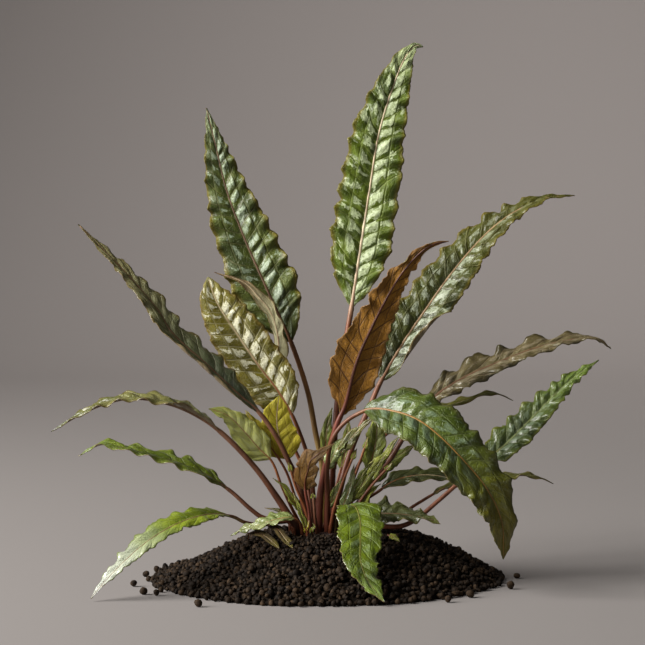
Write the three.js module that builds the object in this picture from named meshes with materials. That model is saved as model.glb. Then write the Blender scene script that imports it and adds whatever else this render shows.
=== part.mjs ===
// Cryptocoryne undulata in a heap of soil granules: millimetres, +Z up, front towards -Y.
// The origin is the middle of the heap's flat underside.
import * as THREE from "three";

// Driving dimensions
const HEAP_RADIUS = 72;
const CROWN_CENTRE = [-1, -2];
const CROWN_TOP = 20.7;
const CROWN_FOOT = 7;
const CROWN_TOP_RADIUS = 14.5;
const CROWN_FOOT_RADIUS = 8;
const PIT_GAP = 0.4;
const BLADE_THICKNESS = 0.9;
const RUFFLE_SHARE = 0.09;
const CUP_SHARE = 0.1;

// Colour and roughness of each finish
const FINISHES = {
  bright_green: [0x7f9640, 0.35],
  dark_green: [0x54632f, 0.35],
  olive: [0x8a7f42, 0.4],
  grey_green: [0x6f765a, 0.4],
  yellow: [0xb4a83a, 0.45],
  copper: [0x9a7338, 0.45],
  crown_bark: [0x4a2c20, 0.75],
  soil: [0x2b221c, 0.9],
};

// Height of the heap's surface by radius, to the left and to the right
const HEAP_PROFILE = [
  [0, 21, 21],
  [14, 21, 21],
  [22, 20.5, 21],
  [30, 18.5, 20.4],
  [37, 16.2, 19.4],
  [43, 13.6, 18],
  [49, 10.8, 15.4],
  [55, 8.2, 12.2],
  [61, 5.8, 9],
  [66, 4, 6.2],
  [69, 2.8, 4.2],
  [72, 1.4, 1.8],
];

// Loose granules on the floor: x, y, diameter
const LOOSE_GRAINS = [
  [-75, 6, 3.2],
  [-71.5, 19, 3.2],
  [-78, -21, 3.4],
  [-72.5, -42, 3.6],
  [-67, -45, 3.2],
  [-49, -73, 3.4],
  [80, 1, 3.2],
  [75, -28, 3.8],
  [57.5, -50, 3.6],
  [48, -62, 3.2],
];

// Leaves: path from foot to tip, share of the length that is petiole, blade width, petiole width,
// the way the upper side looks at the foot and at the tip, the waves along a margin, how the
// blade tapers, and its finish.
const LEAVES = {
  leaf_tallest: {
    path: [
      [2, 4, 21], [3, 9, 45], [5, 13, 70], [7, 15, 88], [11, 19, 111], [15, 25, 137],
      [19, 30, 162], [23, 34, 186], [29, 38, 206], [35, 42, 220], [39, 44, 224.5], [43, 45, 224],
    ],
    petiole: 0.43, width: 26, stem: 3.2, face: [0, -1, 0.2], tip: [0.2, -1, 0.2], waves: 10, taper: 2.3,
    finish: "bright_green",
  },
  leaf_tall_left: {
    path: [
      [-1, 7, 21], [-1, 11, 45], [-4, 13, 60], [-7, 15, 76], [-14, 18, 97], [-25, 23.4, 121],
      [-34, 28, 141], [-42, 33, 162], [-47, 37, 182], [-51, 40, 198],
    ],
    petiole: 0.42, width: 27, stem: 3, face: [0, -1, 0], tip: [0, -1, 0], waves: 9, taper: 1.5,
    finish: "dark_green",
  },
  leaf_broad_olive: {
    path: [
      [-4, -3, 21], [-6, -1, 46], [-8, 1, 54], [-14, 2, 69], [-20, 3, 79],
      [-27, 4, 88], [-36, 5, 101], [-45, 6, 115], [-49, 7, 126],
    ],
    petiole: 0.42, width: 22, stem: 2.4, face: [0, -1, 0], tip: [0, -1, 0], waves: 7, taper: 3,
    finish: "olive",
  },
  leaf_behind_left: {
    path: [
      [-5, 5, 21], [-8, 8, 42], [-14, 10, 57], [-18, 12, 75], [-19, 13, 91],
      [-20, 14, 102], [-23, 15, 111], [-28, 16, 117], [-34, 17, 123], [-47, 18, 127.5],
    ],
    petiole: 0.38, width: 10, stem: 2.2, face: [1, -0.3, 0.4], tip: [0.3, -0.5, 1], waves: 6, taper: 1.6,
    finish: "olive",
  },
  leaf_arch_left: {
    path: [
      [-7, -3, 21], [-11, -5, 41], [-15, -7, 50], [-20, -8, 60], [-27, -8, 70], [-35, -8, 77], [-50, -7, 91],
      [-57, -6, 97], [-64, -5, 104], [-69, -3, 112], [-82, 0, 127], [-91, 2, 136], [-103, 4, 148],
    ],
    petiole: 0.33, width: 20, stem: 3.2, face: [0.3, -0.6, 0.7], tip: [0.4, -0.3, 0.9], waves: 9, taper: 1.8,
    finish: "grey_green",
  },
  leaf_long_left: {
    path: [
      [-10, -9, 21], [-14.5, -10, 27], [-19, -10, 34], [-28, -12, 47], [-41, -14, 61],
      [-50, -15, 68], [-63, -16, 74], [-80, -17, 76.5], [-96, -18, 72], [-112, -18, 63],
    ],
    petiole: 0.42, width: 16, stem: 4.4, face: [0.3, -0.1, 1], tip: [-0.2, -0.2, 1], waves: 7, taper: 1.6,
    finish: "olive",
  },
  leaf_middle_left: {
    path: [
      [-13, 0, 21], [-15, 0, 24.5], [-20, 1, 24.5], [-26, 2, 25.5], [-31, 2, 29], [-40, 2, 37],
      [-53, 2, 45], [-67, 2, 50], [-82, 2, 54], [-93, 2, 56], [-103, 2, 51],
    ],
    petiole: 0.34, width: 13, stem: 2.4, face: [0.2, -0.3, 1], tip: [0, -0.2, 1], waves: 6, taper: 1.8,
    finish: "bright_green",
  },
  leaf_floor_left: {
    path: [
      [-12, -4, 21], [-14, -4, 24.5], [-19, -5, 24.5], [-26, -7, 23.6], [-33, -10, 25], [-38, -15, 28],
      [-48, -26, 30], [-61, -38, 27], [-73, -47, 20], [-86, -56, 8], [-92, -60, 1],
    ],
    petiole: 0.3, width: 12, stem: 2, face: [0.2, -0.3, 1], tip: [-0.3, -0.3, 1], waves: 7, taper: 2,
    finish: "bright_green",
  },
  leaf_pale_low: {
    path: [
      [-9, -13, 21], [-11, -14, 26], [-14, -15, 27.5], [-20, -15, 26.8], [-26, -15, 25], [-33, -13, 22.5], [-39, -11, 19.5],
    ],
    petiole: 0.2, width: 8, stem: 1.6, face: [0, -0.5, 1], tip: [-0.3, -0.5, 1], waves: 4, taper: 1.6,
    finish: "grey_green",
  },
  leaf_olive_small: {
    path: [
      [-9, -6, 21], [-14, -7, 31], [-18, -8, 40], [-22, -9, 50],
      [-27, -10, 55], [-33, -11, 62], [-40, -12, 69], [-48, -13, 72],
    ],
    petiole: 0.49, width: 11, stem: 1.5, face: [0.3, -0.7, 0.7], tip: [0.3, -0.5, 0.9], waves: 4, taper: 1.8,
    finish: "olive",
  },
  leaf_yellow_left: {
    path: [[-8, 1, 21], [-12, -1, 33], [-16, -3, 45], [-20, -4, 52], [-25, -5, 59], [-33, -5, 71]],
    petiole: 0.58, width: 7, stem: 1.5, face: [0, -1, 0.1], tip: [0, -1, 0.1], waves: 3, taper: 1.6,
    finish: "yellow",
  },
  leaf_yellow_right: {
    path: [[-5, 1, 21], [-10, -1, 36], [-14, -2, 46], [-16, -3, 53], [-19, -3, 60], [-20, -3, 67], [-19, -4, 77]],
    petiole: 0.56, width: 11, stem: 1.5, face: [0, -1, 0], tip: [0, -1, 0], waves: 3, taper: 2.2,
    finish: "yellow",
  },
  leaf_copper: {
    path: [
      [-3, -8, 21], [-2, -9, 36], [1, -11, 52], [5, -14, 66], [8, -15, 73], [13, -19, 92],
      [19, -22, 106], [25, -25, 118], [31, -27, 128], [38, -29, 136], [43, -30, 139.5], [50, -30, 141],
    ],
    petiole: 0.36, width: 19, stem: 3.2, face: [0, 1, 0], tip: [-0.3, 1, 0.5], waves: 8, taper: 1.05,
    finish: "copper",
  },
  leaf_upper_right: {
    path: [
      [3, -2, 21], [5, -1, 33], [11, 2, 54], [19, 6, 72], [23, 9, 81], [33, 13, 98], [42, 16, 111],
      [52, 19, 125], [62, 22, 137], [71, 24, 146], [80, 26, 152.5], [93, 28, 158.5], [107, 30, 160],
    ],
    petiole: 0.35, width: 22, stem: 3.4, face: [0, -1, 0.2], tip: [-0.1, -0.35, 1], waves: 11, taper: 1.5,
    finish: "dark_green",
  },
  leaf_brown_right: {
    path: [
      [9, 1, 21], [13, 2, 29], [19, 4, 39], [27, 7, 49], [34, 9, 60], [42, 10, 70], [47, 11, 76],
      [60, 13, 84], [74, 14, 90], [87, 15, 95], [101, 16, 98.5], [114, 16, 99.5], [121, 17, 95],
    ],
    petiole: 0.4, width: 16, stem: 3, face: [-0.6, -0.6, 0.8], tip: [0, -0.3, 1], waves: 8, taper: 1.8,
    finish: "olive",
  },
  leaf_lower_right: {
    path: [
      [8, -6, 21], [10.5, -7, 25.5], [16, -9, 25], [24, -12, 23.6], [31, -12, 23.6], [37, -11, 26], [47, -9, 34],
      [62, -7, 47], [73, -4, 55], [86, 1, 67], [101, 7, 81], [115, 10, 91],
    ],
    petiole: 0.5, width: 13, stem: 2.4, face: [-0.3, -0.9, 0.6], tip: [-0.3, -0.9, 0.8], waves: 7, taper: 1.7,
    finish: "dark_green",
  },
  leaf_big_right: {
    path: [
      [1, -8, 21], [1, -10, 34], [1, -14, 49], [3, -18, 60], [8, -20, 67], [14, -22, 71], [19, -25, 73],
      [30, -32, 72], [38, -37, 69], [46, -41, 63], [54, -44, 55], [64, -46, 43], [70, -46, 30], [71, -44, 14],
    ],
    petiole: 0.34, width: 25, stem: 3.2, face: [0.2, -0.8, 0.6], tip: [0.6, -0.8, 0.2], waves: 7, taper: 2,
    finish: "dark_green",
  },
  leaf_back_right: {
    path: [
      [4, 8, 21], [8, 9, 34], [17, 12, 51], [27, 14, 60], [40, 16, 67], [53, 18, 71], [62, 18, 74], [72, 19, 76], [80, 20, 73],
    ],
    petiole: 0.52, width: 8, stem: 1.8, face: [0, -0.3, 1], tip: [0, -0.2, 1], waves: 4, taper: 1.8,
    finish: "olive",
  },
  leaf_grey_right: {
    path: [
      [7, -2, 21], [11, -2, 28], [16, -3, 33], [22, -4, 37], [27, -4, 40.5], [34, -3, 43], [44, -1, 43.5], [52, 0, 42], [60, 1, 39],
    ],
    petiole: 0.38, width: 9, stem: 1.8, face: [-0.3, -0.7, 1], tip: [0.3, -0.7, 1], waves: 5, taper: 2,
    finish: "grey_green",
  },
  leaf_hidden_right: {
    path: [
      [11, -2, 21], [13, -1, 24.5], [19, 2, 24.5], [26, 4, 24], [31, 5, 26], [39, 6, 31], [51, 7, 37.5],
      [61, 7, 40], [73, 7, 41.5], [83, 7, 42.5], [90, 7, 41.5], [96, 7, 39],
    ],
    petiole: 0.43, width: 10, stem: 1.8, face: [-0.2, -0.2, 1], tip: [0.2, -0.2, 1], waves: 5, taper: 1.6,
    finish: "olive",
  },
  leaf_front: {
    path: [
      [4, -10, 21], [5, -12, 28], [8, -16, 32], [12, -23, 33], [14, -32, 29], [14, -45, 21.5], [14, -56, 15], [17, -66, 8.5], [23, -74, 2],
    ],
    petiole: 0.14, width: 17, stem: 2.4, face: [0, -0.2, 1], tip: [0.2, -0.6, 1], waves: 7, taper: 2,
    finish: "bright_green",
  },
  leaf_dark_right: {
    path: [[8, -10, 21], [11, -12, 27], [16, -14, 29.5], [24, -17, 29.5], [30, -18, 29.4], [36, -20, 28.8], [42, -22, 28], [47, -24, 26]],
    petiole: 0.24, width: 10, stem: 1.8, face: [0, -0.7, 0.8], tip: [0.2, -0.5, 1], waves: 4, taper: 1.4,
    finish: "grey_green",
  },
  leaf_copper_small: {
    path: [[-6, -11, 21], [-7, -11, 32], [-8, -13, 38], [-8, -16, 43], [-7, -18, 47], [-6, -19, 51], [-3, -20, 54], [4, -20, 58.5]],
    petiole: 0.4, width: 14, stem: 2, face: [0, 1, -0.1], tip: [-0.5, 0.8, -0.7], waves: 3, taper: 0.8,
    finish: "copper",
  },
  leaf_inner_right: {
    path: [[5, 2, 21], [10, 3, 32], [15, 5, 41], [19, 7, 48], [21, 8, 55], [22, 9, 64], [23, 10, 71]],
    petiole: 0.5, width: 8, stem: 1.6, face: [0, -1, 0], tip: [0, -1, 0.2], waves: 3, taper: 2,
    finish: "dark_green",
  },
  leaf_inner_far: {
    path: [[6, 5, 21], [11, 7, 31], [18, 9, 40], [25, 11, 47], [32, 12, 51], [38, 12, 55]],
    petiole: 0.42, width: 7, stem: 1.5, face: [0, -0.8, 0.7], tip: [0, -0.6, 0.8], waves: 3, taper: 1.8,
    finish: "bright_green",
  },
  leaf_inner_narrow: {
    path: [[5, -5, 21], [7, -8, 30], [10, -9, 36], [14, -9, 42], [17, -9, 47], [20, -8, 50]],
    petiole: 0.34, width: 5, stem: 1.3, face: [-0.5, -1, 0], tip: [-0.5, -1, 0.3], waves: 3, taper: 1.6,
    finish: "bright_green",
  },
  leaf_inner_dark: {
    path: [[1, 1, 21], [4, 2, 36], [7, 5, 47], [9, 7, 55], [10, 8, 66]],
    petiole: 0.54, width: 6, stem: 1.5, face: [0, -1, 0], tip: [0, -1, 0], waves: 3, taper: 1.8,
    finish: "dark_green",
  },
  leaf_inner_sprout: {
    path: [[-1, -5, 21], [2, -5, 31], [5, -6, 38], [7, -6, 43]],
    petiole: 0.4, width: 4.5, stem: 1.3, face: [-0.3, -1, 0], tip: [-0.3, -1, 0], waves: 2, taper: 1.6,
    finish: "bright_green",
  },
  leaf_inner_back: {
    path: [[-2, 3, 21], [-1, 5, 40], [0, 6, 53], [1, 7, 63], [3, 8, 71]],
    petiole: 0.6, width: 5, stem: 1.5, face: [0, -1, 0], tip: [0, -1, 0], waves: 3, taper: 1.8,
    finish: "grey_green",
  },
};

// Closed mesh from rings of equal length, capped at both ends. The strips in crossed are split along
// their other diagonal, so that a thin sheet's two sides bend alike.
function loftRings(rings, crossed = []) {
  const count = rings[0].length;
  const points = rings.flat();
  const faces = [];
  for (let r = 0; r + 1 < rings.length; r++) {
    for (let k = 0; k < count; k++) {
      const a = r * count + k;
      const b = r * count + ((k + 1) % count);
      if (crossed.includes(k)) faces.push(a, b, a + count, b, b + count, a + count);
      else faces.push(a, b, b + count, a, b + count, a + count);
    }
  }
  const last = (rings.length - 1) * count;
  for (let k = 1; k + 1 < count; k++) {
    faces.push(0, k + 1, k, last, last + k, last + k + 1);
  }
  const geometry = new THREE.BufferGeometry();
  geometry.setAttribute("position", new THREE.Float32BufferAttribute(points.flatMap((p) => [p.x, p.y, p.z]), 3));
  geometry.setIndex(faces);
  return geometry;
}

// Half of the blade's width at a share of its length, as a share of the greatest half width.
function bladeOutline(share, taper) {
  const foot = Math.sin((Math.PI / 2) * Math.min(1, share / 0.24)) ** 0.8;
  const tip = 1 - Math.max(0, (share - 0.28) / 0.72) ** taper;
  return foot * tip;
}

// Height of the ruffled margin over the blade's plane; side is -1 or +1.
function ruffle(leaf, share, side) {
  const phase = side < 0 ? 0.1 : 0.52;
  const swell = Math.min(1, 5 * share, 4 * (1 - share));
  return RUFFLE_SHARE * leaf.width * swell * Math.sin(2 * Math.PI * (leaf.waves * share + phase));
}

// Six points around the leaf at one place: two margins, two on top and two below beside the midrib.
function leafRing(leaf, centre, tangent, upper, share) {
  const along = tangent.clone().normalize();
  const normal = upper.clone().addScaledVector(along, -upper.dot(along)).normalize();
  const across = new THREE.Vector3().crossVectors(along, normal);
  const radius = (leaf.stem / 2) * (share <= 0 ? 1 + 0.25 * share : 1 - 0.72 * share ** 0.4) * 0.9;
  const blade = (leaf.width / 2) * (share > 0 ? bladeOutline(share, leaf.taper) : 0);
  const half = Math.max(radius, blade);
  const grown = share > 0 ? Math.min(1, blade / (3 * radius)) : 0;
  const top = THREE.MathUtils.lerp(0.87 * radius, Math.min(BLADE_THICKNESS / 2, radius), grown);
  const below = -0.87 * radius;
  const inner = THREE.MathUtils.lerp(radius / 2, 1.1 * radius, grown);
  const lift = CUP_SHARE * blade * grown;
  const left = grown * ruffle(leaf, share, -1) + lift;
  const right = grown * ruffle(leaf, share, 1) + lift;
  const place = (l, n) => centre.clone().addScaledVector(across, l).addScaledVector(normal, n);
  return [
    place(-half, left),
    place(-inner, top),
    place(inner, top),
    place(half, right),
    place(inner / 2, below),
    place(-inner / 2, below),
  ];
}

// One leaf: a petiole that widens into a ruffled blade, lofted along its path.
function leafGeometry(leaf) {
  const curve = new THREE.CatmullRomCurve3(leaf.path.map((p) => new THREE.Vector3(...p)), false, "centripetal");
  curve.arcLengthDivisions = 600;
  const face = new THREE.Vector3(...leaf.face).normalize();
  const tip = new THREE.Vector3(...leaf.tip).normalize();
  const rings = [];
  const stemSteps = Math.max(4, Math.round((leaf.petiole * curve.getLength()) / 12));
  for (let k = 0; k < stemSteps; k++) {
    const share = k / stemSteps - 1;
    const u = (leaf.petiole * k) / stemSteps;
    const tangent = k ? curve.getTangentAt(u) : new THREE.Vector3(0, 0, 1);
    rings.push(leafRing(leaf, curve.getPointAt(u), tangent, face, share));
  }
  const bladeSteps = 3 * leaf.waves + 2;
  for (let k = 0; k <= bladeSteps; k++) {
    const share = Math.min(0.99, k / bladeSteps);
    const u = leaf.petiole + (1 - leaf.petiole) * share;
    const upper = face.clone().lerp(tip, share);
    rings.push(leafRing(leaf, curve.getPointAt(u), curve.getTangentAt(u), upper, share));
  }
  return loftRings(rings, [3, 5]);
}

// Straight lines through one column of a table whose first column is the position.
function lookUp(table, column, x) {
  for (let k = 1; k < table.length; k++) {
    const from = table[k - 1];
    const to = table[k];
    if (x <= to[0]) return from[column] + ((to[column] - from[column]) * (x - from[0])) / (to[0] - from[0]);
  }
  return table[table.length - 1][column];
}

// The heap of granules: a lumpy solid up to the granules' tops, with a pit that holds the crown.
function heapGeometry() {
  const sectors = 44;
  const radii = [CROWN_TOP_RADIUS + 1.5, 22, 28, 34, 40, 46, 52, 58, 64, 69, HEAP_RADIUS];
  const at = (angle, radius, z, centreX = 0, centreY = 0) =>
    new THREE.Vector3(centreX + radius * Math.cos(angle), centreY + radius * Math.sin(angle), z);
  const rings = [];
  const pitFloor = [];
  const pitEdge = [];
  for (let s = 0; s < sectors; s++) {
    const a = (2 * Math.PI * s) / sectors;
    pitFloor.push(at(a, CROWN_FOOT_RADIUS + PIT_GAP, CROWN_FOOT - PIT_GAP, ...CROWN_CENTRE));
    pitEdge.push(at(a, CROWN_TOP_RADIUS + PIT_GAP, CROWN_TOP, ...CROWN_CENTRE));
  }
  rings.push(pitFloor, pitEdge);
  radii.forEach((radius, r) => {
    const points = [];
    for (let s = 0; s < sectors; s++) {
      const a = (2 * Math.PI * s) / sectors;
      const edge = radius / HEAP_RADIUS;
      const wander = 1 + 0.022 * edge * (Math.sin(3 * a + 1) + 0.7 * Math.sin(7 * a + 2.5));
      const lump = 0.45 * Math.sin(5 * s + 2.3 * r) * Math.sin(1.7 * s + 4.1 * r);
      const p = at(a, radius * wander, 0, ...CROWN_CENTRE.map((c) => c * (1 - edge)));
      const reach = Math.hypot(p.x, p.y) / wander;
      const rightness = 0.5 + 0.5 * Math.cos(a);
      const height = THREE.MathUtils.lerp(lookUp(HEAP_PROFILE, 1, reach), lookUp(HEAP_PROFILE, 2, reach), rightness);
      p.z = Math.max(0.6, height + lump);
      points.push(p);
    }
    rings.push(points);
  });
  const foot = rings[rings.length - 1].map((p) => new THREE.Vector3(p.x, p.y, 0));
  rings.push(foot);
  return loftRings(rings.reverse());
}

// The crown: a short rhizome with the leaf bases fused round it, widening towards its top.
function crownGeometry() {
  const sectors = 20;
  const rings = [];
  for (const [z, radius] of [
    [CROWN_FOOT, CROWN_FOOT_RADIUS * 0.8],
    [CROWN_FOOT + 1.5, CROWN_FOOT_RADIUS],
    [CROWN_TOP - 1.6, CROWN_TOP_RADIUS - 1.1],
    [CROWN_TOP, CROWN_TOP_RADIUS - 2],
  ]) {
    const points = [];
    for (let s = 0; s < sectors; s++) {
      const a = (2 * Math.PI * s) / sectors;
      const rib = s % 2 ? 0.94 : 1;
      points.push(
        new THREE.Vector3(
          CROWN_CENTRE[0] + radius * rib * Math.cos(a),
          CROWN_CENTRE[1] + radius * rib * Math.sin(a),
          z,
        ),
      );
    }
    rings.push(points);
  }
  return loftRings(rings);
}

function add(group, name, geometry, finish) {
  const [color, roughness] = FINISHES[finish];
  const mesh = new THREE.Mesh(geometry, new THREE.MeshStandardMaterial({ color, roughness, metalness: 0 }));
  mesh.name = name;
  group.add(mesh);
  return mesh;
}

const group = new THREE.Group();
add(group, "soil_heap", heapGeometry(), "soil");
add(group, "crown", crownGeometry(), "crown_bark");
for (const [name, leaf] of Object.entries(LEAVES)) {
  add(group, name, leafGeometry(leaf), leaf.finish);
}
LOOSE_GRAINS.forEach(([x, y, diameter], k) => {
  const name = `grain_${String(k + 1).padStart(2, "0")}`;
  const grain = add(group, name, new THREE.IcosahedronGeometry(diameter / 2, 0), "soil");
  grain.position.set(x, y, diameter / 2);
});

export default group;
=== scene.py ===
import bpy
import bmesh
import math
import numpy as np
from mathutils import Euler, Matrix, Vector, noise


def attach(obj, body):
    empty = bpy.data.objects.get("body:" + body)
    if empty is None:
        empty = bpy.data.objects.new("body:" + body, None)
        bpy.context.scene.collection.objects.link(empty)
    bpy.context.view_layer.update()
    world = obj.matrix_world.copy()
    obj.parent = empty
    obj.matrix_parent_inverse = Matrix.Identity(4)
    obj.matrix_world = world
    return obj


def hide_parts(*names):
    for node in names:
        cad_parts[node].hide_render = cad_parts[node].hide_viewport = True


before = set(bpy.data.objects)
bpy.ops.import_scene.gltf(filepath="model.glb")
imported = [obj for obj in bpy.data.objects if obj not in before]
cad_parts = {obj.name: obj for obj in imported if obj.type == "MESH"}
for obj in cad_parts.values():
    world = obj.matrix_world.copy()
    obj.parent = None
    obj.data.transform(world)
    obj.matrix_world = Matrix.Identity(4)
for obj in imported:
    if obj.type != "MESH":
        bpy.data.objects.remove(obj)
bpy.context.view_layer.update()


# ----------------------------------------
# Camera: about a metre from the plant and 15 cm up, looking slightly down, with a long lens.
# ----------------------------------------
def show(name, data):
    """Puts a camera, a light or a mesh into the scene."""
    made = bpy.data.objects.new(name, data)
    bpy.context.scene.collection.objects.link(made)
    return made


camera = show("camera", bpy.data.cameras.new("camera"))
camera.data.sensor_width = 36
camera.data.lens = 133.95
camera.data.clip_start = 0.05
camera.data.clip_end = 20
camera.location = (-0.00104, -0.99465, 0.14866)
camera.rotation_euler = (math.radians(87.6), 0, 0)
bpy.context.scene.camera = camera


# ----------------------------------------
# Studio: a pale floor that curves up into a plain grey-beige backdrop, with one big soft light
# from the left, one over the backdrop and a weak fill. None of it belongs to the plant.
# ----------------------------------------
class Nodes:
    """Short ways to add nodes to a material or a node group. Each gives the output that is used."""

    def __init__(self, tree):
        self.tree = tree

    def fill(self, node, inputs):
        """Sets or links a node's inputs, by name or by number."""
        for key, value in inputs.items():
            if isinstance(value, bpy.types.NodeSocket):
                self.tree.links.new(value, node.inputs[key])
            elif value is not None:
                node.inputs[key].default_value = value

    def add(self, kind, inputs=(), gives=0, **settings):
        node = self.tree.nodes.new("ShaderNode" + kind)
        for key, value in settings.items():
            setattr(node, key, value)
        self.fill(node, inputs if isinstance(inputs, dict) else dict(enumerate(inputs)))
        return node.outputs[gives]

    def maths(self, operation, *values):
        return self.add("Math", values, operation=operation)

    def times(self, value, factor, plus=0.0):
        """value * factor + plus"""
        return self.maths("MULTIPLY_ADD", value, factor, plus)

    def fade(self, value, low, high, to_low=0.0, to_high=1.0, kind="SMOOTHSTEP"):
        """Goes from to_low to to_high while value goes from low to high."""
        return self.add("MapRange", (value, low, high, to_low, to_high), interpolation_type=kind)

    def place(self, stretch=None):
        where = self.add("TexCoord", gives="Object")
        return self.add("Mapping", {"Vector": where, "Scale": stretch}) if stretch else where

    def cloud(self, vector, scale, detail=4.0, roughness=0.6):
        """Soft irregular blotches between 0 and 1."""
        inputs = {"Vector": vector, "Scale": scale, "Detail": detail, "Roughness": roughness}
        return self.add("TexNoise", inputs, "Fac")

    def bump(self, height, strength, distance, normal=None):
        inputs = {"Height": height, "Strength": strength, "Distance": distance, "Normal": normal}
        return self.add("Bump", inputs, "Normal")

    def ramp(self, value, *stops):
        """Colours along a value: a stop is its position and its colour."""
        ramp = self.tree.nodes.new("ShaderNodeValToRGB")
        for count, (position, colour) in enumerate(stops):
            stops_made = ramp.color_ramp.elements
            stop = stops_made[count] if count < 2 else stops_made.new(position)
            stop.position = position
            stop.color = (*colour, 1)
        self.fill(ramp, {"Fac": value})
        return ramp.outputs["Color"]

    def shade(self, inputs):
        self.fill(self.tree.nodes["Principled BSDF"], inputs)


def new_material(name):
    material = bpy.data.materials.new(name)
    material.use_nodes = True
    return material, Nodes(material.node_tree)


def mesh_of(bm, name, material=None, smooth=None, unit=1.0):
    """Turns a bmesh into a mesh in metres. unit is how many metres one of its own units is."""
    bmesh.ops.scale(bm, vec=(unit, unit, unit), verts=bm.verts[:])
    mesh = bpy.data.meshes.new(name)
    bm.to_mesh(mesh)
    bm.free()
    if material:
        mesh.materials.append(material)
    if smooth is not None:
        mesh.polygons.foreach_set("use_smooth", [smooth] * len(mesh.polygons))
    return mesh


def studio_floor():
    bend_start, bend_radius = 1.3, 0.6
    half_width, front, depth = 4, -4, 8.2
    bm = bmesh.new()
    bmesh.ops.create_grid(bm, x_segments=1, y_segments=120, size=1)
    for v in bm.verts:
        run = front + depth / 2 * (v.co.y + 1)
        over = max(0.0, run - bend_start)
        turn = min(over / bend_radius, math.pi / 2)
        rise = max(0.0, over - bend_radius * math.pi / 2)
        v.co.x *= half_width
        v.co.y = min(run, bend_start) + bend_radius * math.sin(turn)
        v.co.z = bend_radius * (1 - math.cos(turn)) + rise
    paper, nodes = new_material("studio_paper")
    nodes.shade({"Base Color": (0.268, 0.246, 0.234, 1), "Roughness": 0.85, "Specular IOR Level": 0.2})
    show("studio_floor", mesh_of(bm, "studio_floor", paper, True))


def soft_light(name, place, aim, width, height, watts, colour, spread=180):
    data = bpy.data.lights.new(name, "AREA")
    data.shape = "RECTANGLE"
    data.size = width
    data.size_y = height
    data.energy = watts
    data.color = colour
    data.spread = math.radians(spread)
    light = show(name, data)
    light.location = place
    light.rotation_euler = (Vector(aim) - Vector(place)).to_track_quat("-Z", "Y").to_euler()


studio_floor()
soft_light("key_light", (-1.15, -0.34, 0.8), (0.15, 0.05, 0.15), 1.1, 1.2, 26, (1.0, 0.985, 0.965), 120)
soft_light("backdrop_light", (0.42, 1.1, 1.43), (0.14, 1.67, 0.13), 0.8, 0.5, 6, (1.0, 0.962, 0.947), 117)
soft_light("fill_light", (1.1, -1.1, 0.5), (0, 0, 0.1), 0.9, 0.9, 0.8, (0.97, 0.98, 1.0))
world = bpy.data.worlds.new("studio_air")
world.use_nodes = True
world.node_tree.nodes["Background"].inputs["Color"].default_value = (0.9, 0.88, 0.86, 1)
world.node_tree.nodes["Background"].inputs["Strength"].default_value = 0.055
bpy.context.scene.world = world
bpy.context.scene.view_settings.view_transform = "Standard"


# ----------------------------------------
# Soil heap: baked clay granules about 3 mm across, heaped up loosely on a dark core. They are
# whole, blunt lumps at the rim, and towards the middle broken clods with crumbs between them.
# ----------------------------------------
MILLIMETRE = 0.001
HEAP_RADIUS = 72
# Distance from the middle, and the heights there on the left and on the right, in millimetres
HEAP_PROFILE = np.array([
    [0, 21, 21], [14, 21, 21], [22, 20.5, 21], [30, 18.5, 20.4], [37, 16.2, 19.4], [43, 13.6, 18],
    [49, 10.8, 15.4], [55, 8.2, 12.2], [61, 5.8, 9], [66, 4, 6.2], [69, 2.8, 4.2], [72, 1.4, 1.8],
])


def heap_wander(angle):
    """How much further out than a circle the heap's edge is in one direction, as a share."""
    return 0.022 * (math.sin(3 * angle + 1) + 0.7 * math.sin(7 * angle + 2.5))


def heap_edge(angle):
    return HEAP_RADIUS * (1 + heap_wander(angle))


def heap_height(x, y):
    reach = math.hypot(x, y)
    angle = math.atan2(y, x)
    reach /= 1 + reach / HEAP_RADIUS * heap_wander(angle)
    left, right = (np.interp(reach, HEAP_PROFILE[:, 0], HEAP_PROFILE[:, k]) for k in (1, 2))
    return left + (right - left) * (0.5 + 0.5 * math.cos(angle))


def soil_material():
    material, nodes = new_material("baked_soil")
    place = nodes.place()
    tint = nodes.add("Attribute", gives="Fac", attribute_name="granule_tint")
    tone = nodes.times(tint, 0.34, nodes.times(nodes.cloud(place, 420.0, 3.0), 0.9, -0.12))
    shadow, middle, dust = (0.0014, 0.0009, 0.0005), (0.0135, 0.0082, 0.0045), (0.09, 0.055, 0.029)
    grit = nodes.cloud(place, 1500.0, 3.0, 0.65)
    nodes.shade({
        "Base Color": nodes.ramp(tone, (0.1, shadow), (0.5, middle), (0.95, dust)),
        "Normal": nodes.bump(grit, 0.6, 0.0005), "Roughness": 0.7, "Specular IOR Level": 0.13,
    })
    return material


soil_finish = soil_material()


def granule_shape(rng, rounder, knocks, smooth):
    """One granule a unit across: a ball with few faces, knocked into a lump."""
    bm = bmesh.new()
    bmesh.ops.create_icosphere(bm, subdivisions=2 if rounder else 1, radius=0.5)
    lean = [rng.uniform(0, 6.3) for _ in range(3)]
    for v in bm.verts:
        lump = sum(math.sin(bend * c + start) for bend, c, start in zip((5, 6, 5), v.co, lean))
        v.co *= (1 + 0.07 * lump if rounder else 1) * rng.uniform(*knocks)
    bmesh.ops.recalc_face_normals(bm, faces=bm.faces[:])
    mesh = mesh_of(bm, "granule_shape", smooth=smooth)
    mesh.attributes.new("granule_tint", "FLOAT", "POINT")
    return mesh


granule_rng = np.random.default_rng(4)
WHOLE_GRANULES = [granule_shape(granule_rng, True, (0.93, 1.06), True) for _ in range(12)]
CRUMBS = [granule_shape(granule_rng, False, (0.72, 1.18), False) for _ in range(16)]
CLODS = [granule_shape(granule_rng, True, (0.74, 1.16), False) for _ in range(14)]


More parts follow.
